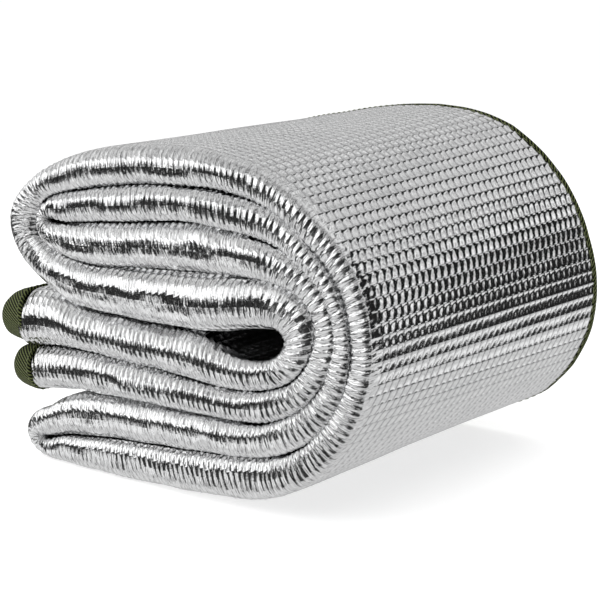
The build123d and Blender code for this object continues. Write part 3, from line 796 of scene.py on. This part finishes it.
# ------------------------------------------------------------------ stitches on the outer long-edge tape
for name, a, b, where, dl, reps in PIECES:
    ss = np.arange(math.ceil((S[a] + 1.0) / 3.6) * 3.6, S[b] - 3.0, 3.6)
    if len(ss) == 0:
        continue
    sv, sf, su = [], [], []
    K = 6
    for t in ss:
        q = spline(np.array([t, t + 2.5]), T0, FLAT4)
        pl, pr = q[:, :2], q[:, 2:]
        half = (pl - pr) / 2; h = np.linalg.norm(half, axis=1); nn2 = half / h[:, None]
        pts = (pl + pr) / 2 + nn2 * (h - 0.25 + 0.42)[:, None]
        P = np.zeros((2, 3)); P[:, 0] = pts[:, 0]; P[:, 2] = pts[:, 1]; P[:, 1] = YB - 2.6
        P = warp(P)
        nn = np.array([nn2[0, 0], 0, nn2[0, 1]])
        ax = P[1] - P[0]; ax /= np.linalg.norm(ax)
        bx = np.cross(ax, nn)
        b0 = sum(len(v) for v in sv)
        ring_ = []
        for fr, rad, lift in ((0, 0.05, -0.12), (0.15, 0.22, 0.02), (0.5, 0.27, 0.1), (0.85, 0.22, 0.02), (1, 0.05, -0.12)):
            o = P[0] + (P[1] - P[0]) * fr + nn * lift
            for k in range(K):
                an = 2 * math.pi * k / K
                ring_.append(o + (nn * math.cos(an) + bx * math.sin(an)) * rad)
        sv.append(np.array(ring_)); sf.append(grid_faces(5, K, True, b0)); su.append(np.array([[0.3 * i, t] for i in range(5 * K)]) * MM)
    st = mesh_object("stitches_long_edge_" + name, np.concatenate(sv), np.concatenate(sf), np.concatenate(su), THREAD)
    if isinstance(where, str):
        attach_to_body(st, where)
    else:
        # bake in place, as the tape beneath is
        zone, val, back = rows(dl, False)
        pa, _ = strip_grid(np.linspace(S[a], S[b], 6), zone, val, back, dl)
        attach(st, where, pa[0], pa[-1])

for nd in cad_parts.values():
    if not nd.hide_render:
        print("CAD node still shown:", nd.name)

# ------------------------------------------------------------------ floor and light
fm, nt, bs = new_mat("floor_white")
bs.inputs["Base Color"].default_value = (0.93, 0.93, 0.93, 1)
bs.inputs["Roughness"].default_value = 0.9
bs.inputs["Specular IOR Level"].default_value = 0.1
bs.inputs["Emission Color"].default_value = (1, 1, 1, 1)
bs.inputs["Emission Strength"].default_value = 0.5
floor = mesh_object("floor", np.array([(-3000, -3000, -0.1), (3000, -3000, -0.1), (3000, 3000, -0.1), (-3000, 3000, -0.1)], float), np.array([[0, 1, 2, 3]]), None, fm)

# what the foil mirrors: the studio all round, seen only in reflections
dm, nt, bs = new_mat("studio_surround")
nt.nodes.remove(bs)
out = nt.nodes["Material Output"]
tc = nt.nodes.new("ShaderNodeTexCoord")
nv = nt.nodes.new("ShaderNodeVectorMath"); nv.operation = "NORMALIZE"; nt.links.new(tc.outputs["Object"], nv.inputs[0])
sp = nt.nodes.new("ShaderNodeSeparateXYZ"); nt.links.new(nv.outputs[0], sp.inputs[0])
wob = noise_node(nt, nv.outputs[0], 2.6, 2.0, 0.5)
sh = math_node(nt, "ADD", sp.outputs[2], math_node(nt, "MULTIPLY", math_node(nt, "SUBTRACT", wob, 0.5), 0.16))
p01 = math_node(nt, "MULTIPLY", math_node(nt, "ADD", sh, 1.0), 0.5)
az = math_node(nt, "ARCTAN2", sp.outputs[1], sp.outputs[0])


def ramp_of(points):
    r = nt.nodes.new("ShaderNodeValToRGB")
    e_ = r.color_ramp.elements
    pts_ = [((k_ + 1) / 2, v_) for k_, v_ in points]
    e_[0].position, e_[0].color = pts_[0][0], (pts_[0][1],) * 3 + (1,)
    e_[1].position, e_[1].color = pts_[-1][0], (pts_[-1][1],) * 3 + (1,)
    for k_, v_ in pts_[1:-1]:
        x_ = e_.new(k_); x_.color = (v_,) * 3 + (1,)
    nt.links.new(p01, r.inputs[0])
    return r.outputs[0]


def window(centre_deg, inner, outer):
    """1 within inner degrees of an azimuth, 0 beyond outer degrees."""
    c_ = math_node(nt, "COSINE", math_node(nt, "SUBTRACT", az, math.radians(centre_deg)))
    m_ = nt.nodes.new("ShaderNodeMapRange"); m_.interpolation_type = "SMOOTHSTEP"
    nt.links.new(c_, m_.inputs["Value"])
    m_.inputs["From Min"].default_value = math.cos(math.radians(outer)); m_.inputs["From Max"].default_value = math.cos(math.radians(inner))
    return m_.outputs[0]


def mix(fac, a_, b_):
    m_ = nt.nodes.new("ShaderNodeMix"); m_.data_type = "RGBA"
    nt.links.new(fac, m_.inputs[0]); nt.links.new(a_, m_.inputs[6]); nt.links.new(b_, m_.inputs[7])
    return m_.outputs[2]


low = [(-1, 0.52), (-0.72, 0.64), (-0.60, 0.52), (-0.38, 0.80)]
front = ramp_of([(-1, 0.55), (-0.72, 0.75), (-0.52, 0.55), (-0.36, 0.95), (-0.205, 0.80), (-0.125, 0.04), (0.062, 0.012), (0.107, 0.35), (0.155, 1.45), (0.38, 1.35), (0.48, 0.60), (0.57, 0.95), (0.66, 0.15), (0.75, 0.90), (0.85, 0.15), (0.93, 0.7)])
right = ramp_of(low + [(-0.25, 0.85), (-0.16, 0.08), (-0.07, 0.02), (0.50, 0.012), (0.535, 0.06), (0.58, 1.10), (0.65, 0.32), (0.73, 1.2), (0.80, 0.22), (0.88, 1.0), (0.95, 0.35), (1, 0.8)])
left = ramp_of(low + [(-0.25, 0.50), (-0.12, 0.24), (0.0, 0.12), (0.08, 0.22), (0.13, 0.75), (0.20, 0.72), (0.27, 0.28), (0.35, 0.95), (0.46, 0.85), (0.53, 0.12), (0.60, 0.90), (0.67, 0.10), (0.75, 0.92), (0.83, 0.15), (0.91, 0.85), (1, 0.25)])
corner = ramp_of([(-1, 0.55), (-0.62, 0.50), (-0.50, 0.05), (0.33, 0.015), (0.40, 0.80), (0.49, 0.85), (0.55, 0.05), (0.66, 0.10), (0.75, 0.75), (0.86, 0.12), (1, 0.6)])
panel = ramp_of([(-1, 0.60), (-0.35, 0.70), (-0.25, 1.1), (0.5, 1.15), (0.64, 0.9), (0.8, 0.6), (1, 0.4)])
t4 = math_node(nt, "COSINE", math_node(nt, "SUBTRACT", math_node(nt, "MULTIPLY", az, 2.0), math.radians(2 * 46.0)))
pm = nt.nodes.new("ShaderNodeMapRange"); pm.interpolation_type = "SMOOTHSTEP"
nt.links.new(t4, pm.inputs["Value"]); pm.inputs["From Min"].default_value = -0.45; pm.inputs["From Max"].default_value = -0.85
base_col = mix(window(46, 30, 62), front, right)
col = mix(pm.outputs[0], base_col, panel)
col = mix(window(134, 30, 52), col, left)
col = mix(window(302, 34, 52), col, corner)
blot = noise_node(nt, nv.outputs[0], 7.0, 3.0, 0.6)
em = nt.nodes.new("ShaderNodeEmission"); nt.links.new(col, em.inputs[0])
nt.links.new(math_node(nt, "ADD", math_node(nt, "MULTIPLY", blot, 1.0), 0.54), em.inputs[1])
nt.links.new(em.outputs[0], out.inputs[0])
dm.cycles.emission_sampling = "NONE"
vv, ff, NU, NVV = [], [], 48, 24
for i in range(NVV + 1):
    for j in range(NU):
        th, ph_ = math.pi * i / NVV, 2 * math.pi * j / NU
        vv.append((1500 * math.sin(th) * math.cos(ph_), 1500 * math.sin(th) * math.sin(ph_), 1500 * math.cos(th)))
dome = mesh_object("studio_surround", np.array(vv), grid_faces(NVV + 1, NU, True), None, dm)
dome.visible_camera = False; dome.visible_diffuse = False; dome.visible_shadow = False; dome.visible_transmission = False
floor.visible_glossy = False

world = bpy.data.worlds.new("world")
bpy.context.scene.world = world
world.use_nodes = True
wn = world.node_tree
bgn = wn.nodes["Background"]
lp = wn.nodes.new("ShaderNodeLightPath")
wm = wn.nodes.new("ShaderNodeMath"); wm.operation = "MULTIPLY_ADD"
wn.links.new(lp.outputs["Is Camera Ray"], wm.inputs[0]); wm.inputs[1].default_value = 0.4; wm.inputs[2].default_value = 0.62
bgn.inputs[0].default_value = (1, 1, 1, 1)
wn.links.new(wm.outputs[0], bgn.inputs[1])
world.cycles_visibility.glossy = False


def area(name, loc, target, size, size_y, power):
    ld = bpy.data.lights.new(name, "AREA"); ld.shape = "RECTANGLE"; ld.size = size; ld.size_y = size_y; ld.energy = power
    ob = bpy.data.objects.new(name, ld); bpy.context.scene.collection.objects.link(ob)
    ob.location = loc
    ob.rotation_euler = (Vector(target) - Vector(loc)).to_track_quat("-Z", "Y").to_euler()
    ob.visible_glossy = False
    ob.visible_camera = False
    return ob


area("key_top", (0.1, -0.3, 1.6), (0, 0, 0), 2.4, 2.4, 16)
area("soft_left", (-0.75, -0.95, 0.6), (0, 0, 0.1), 1.0, 0.6, 3)
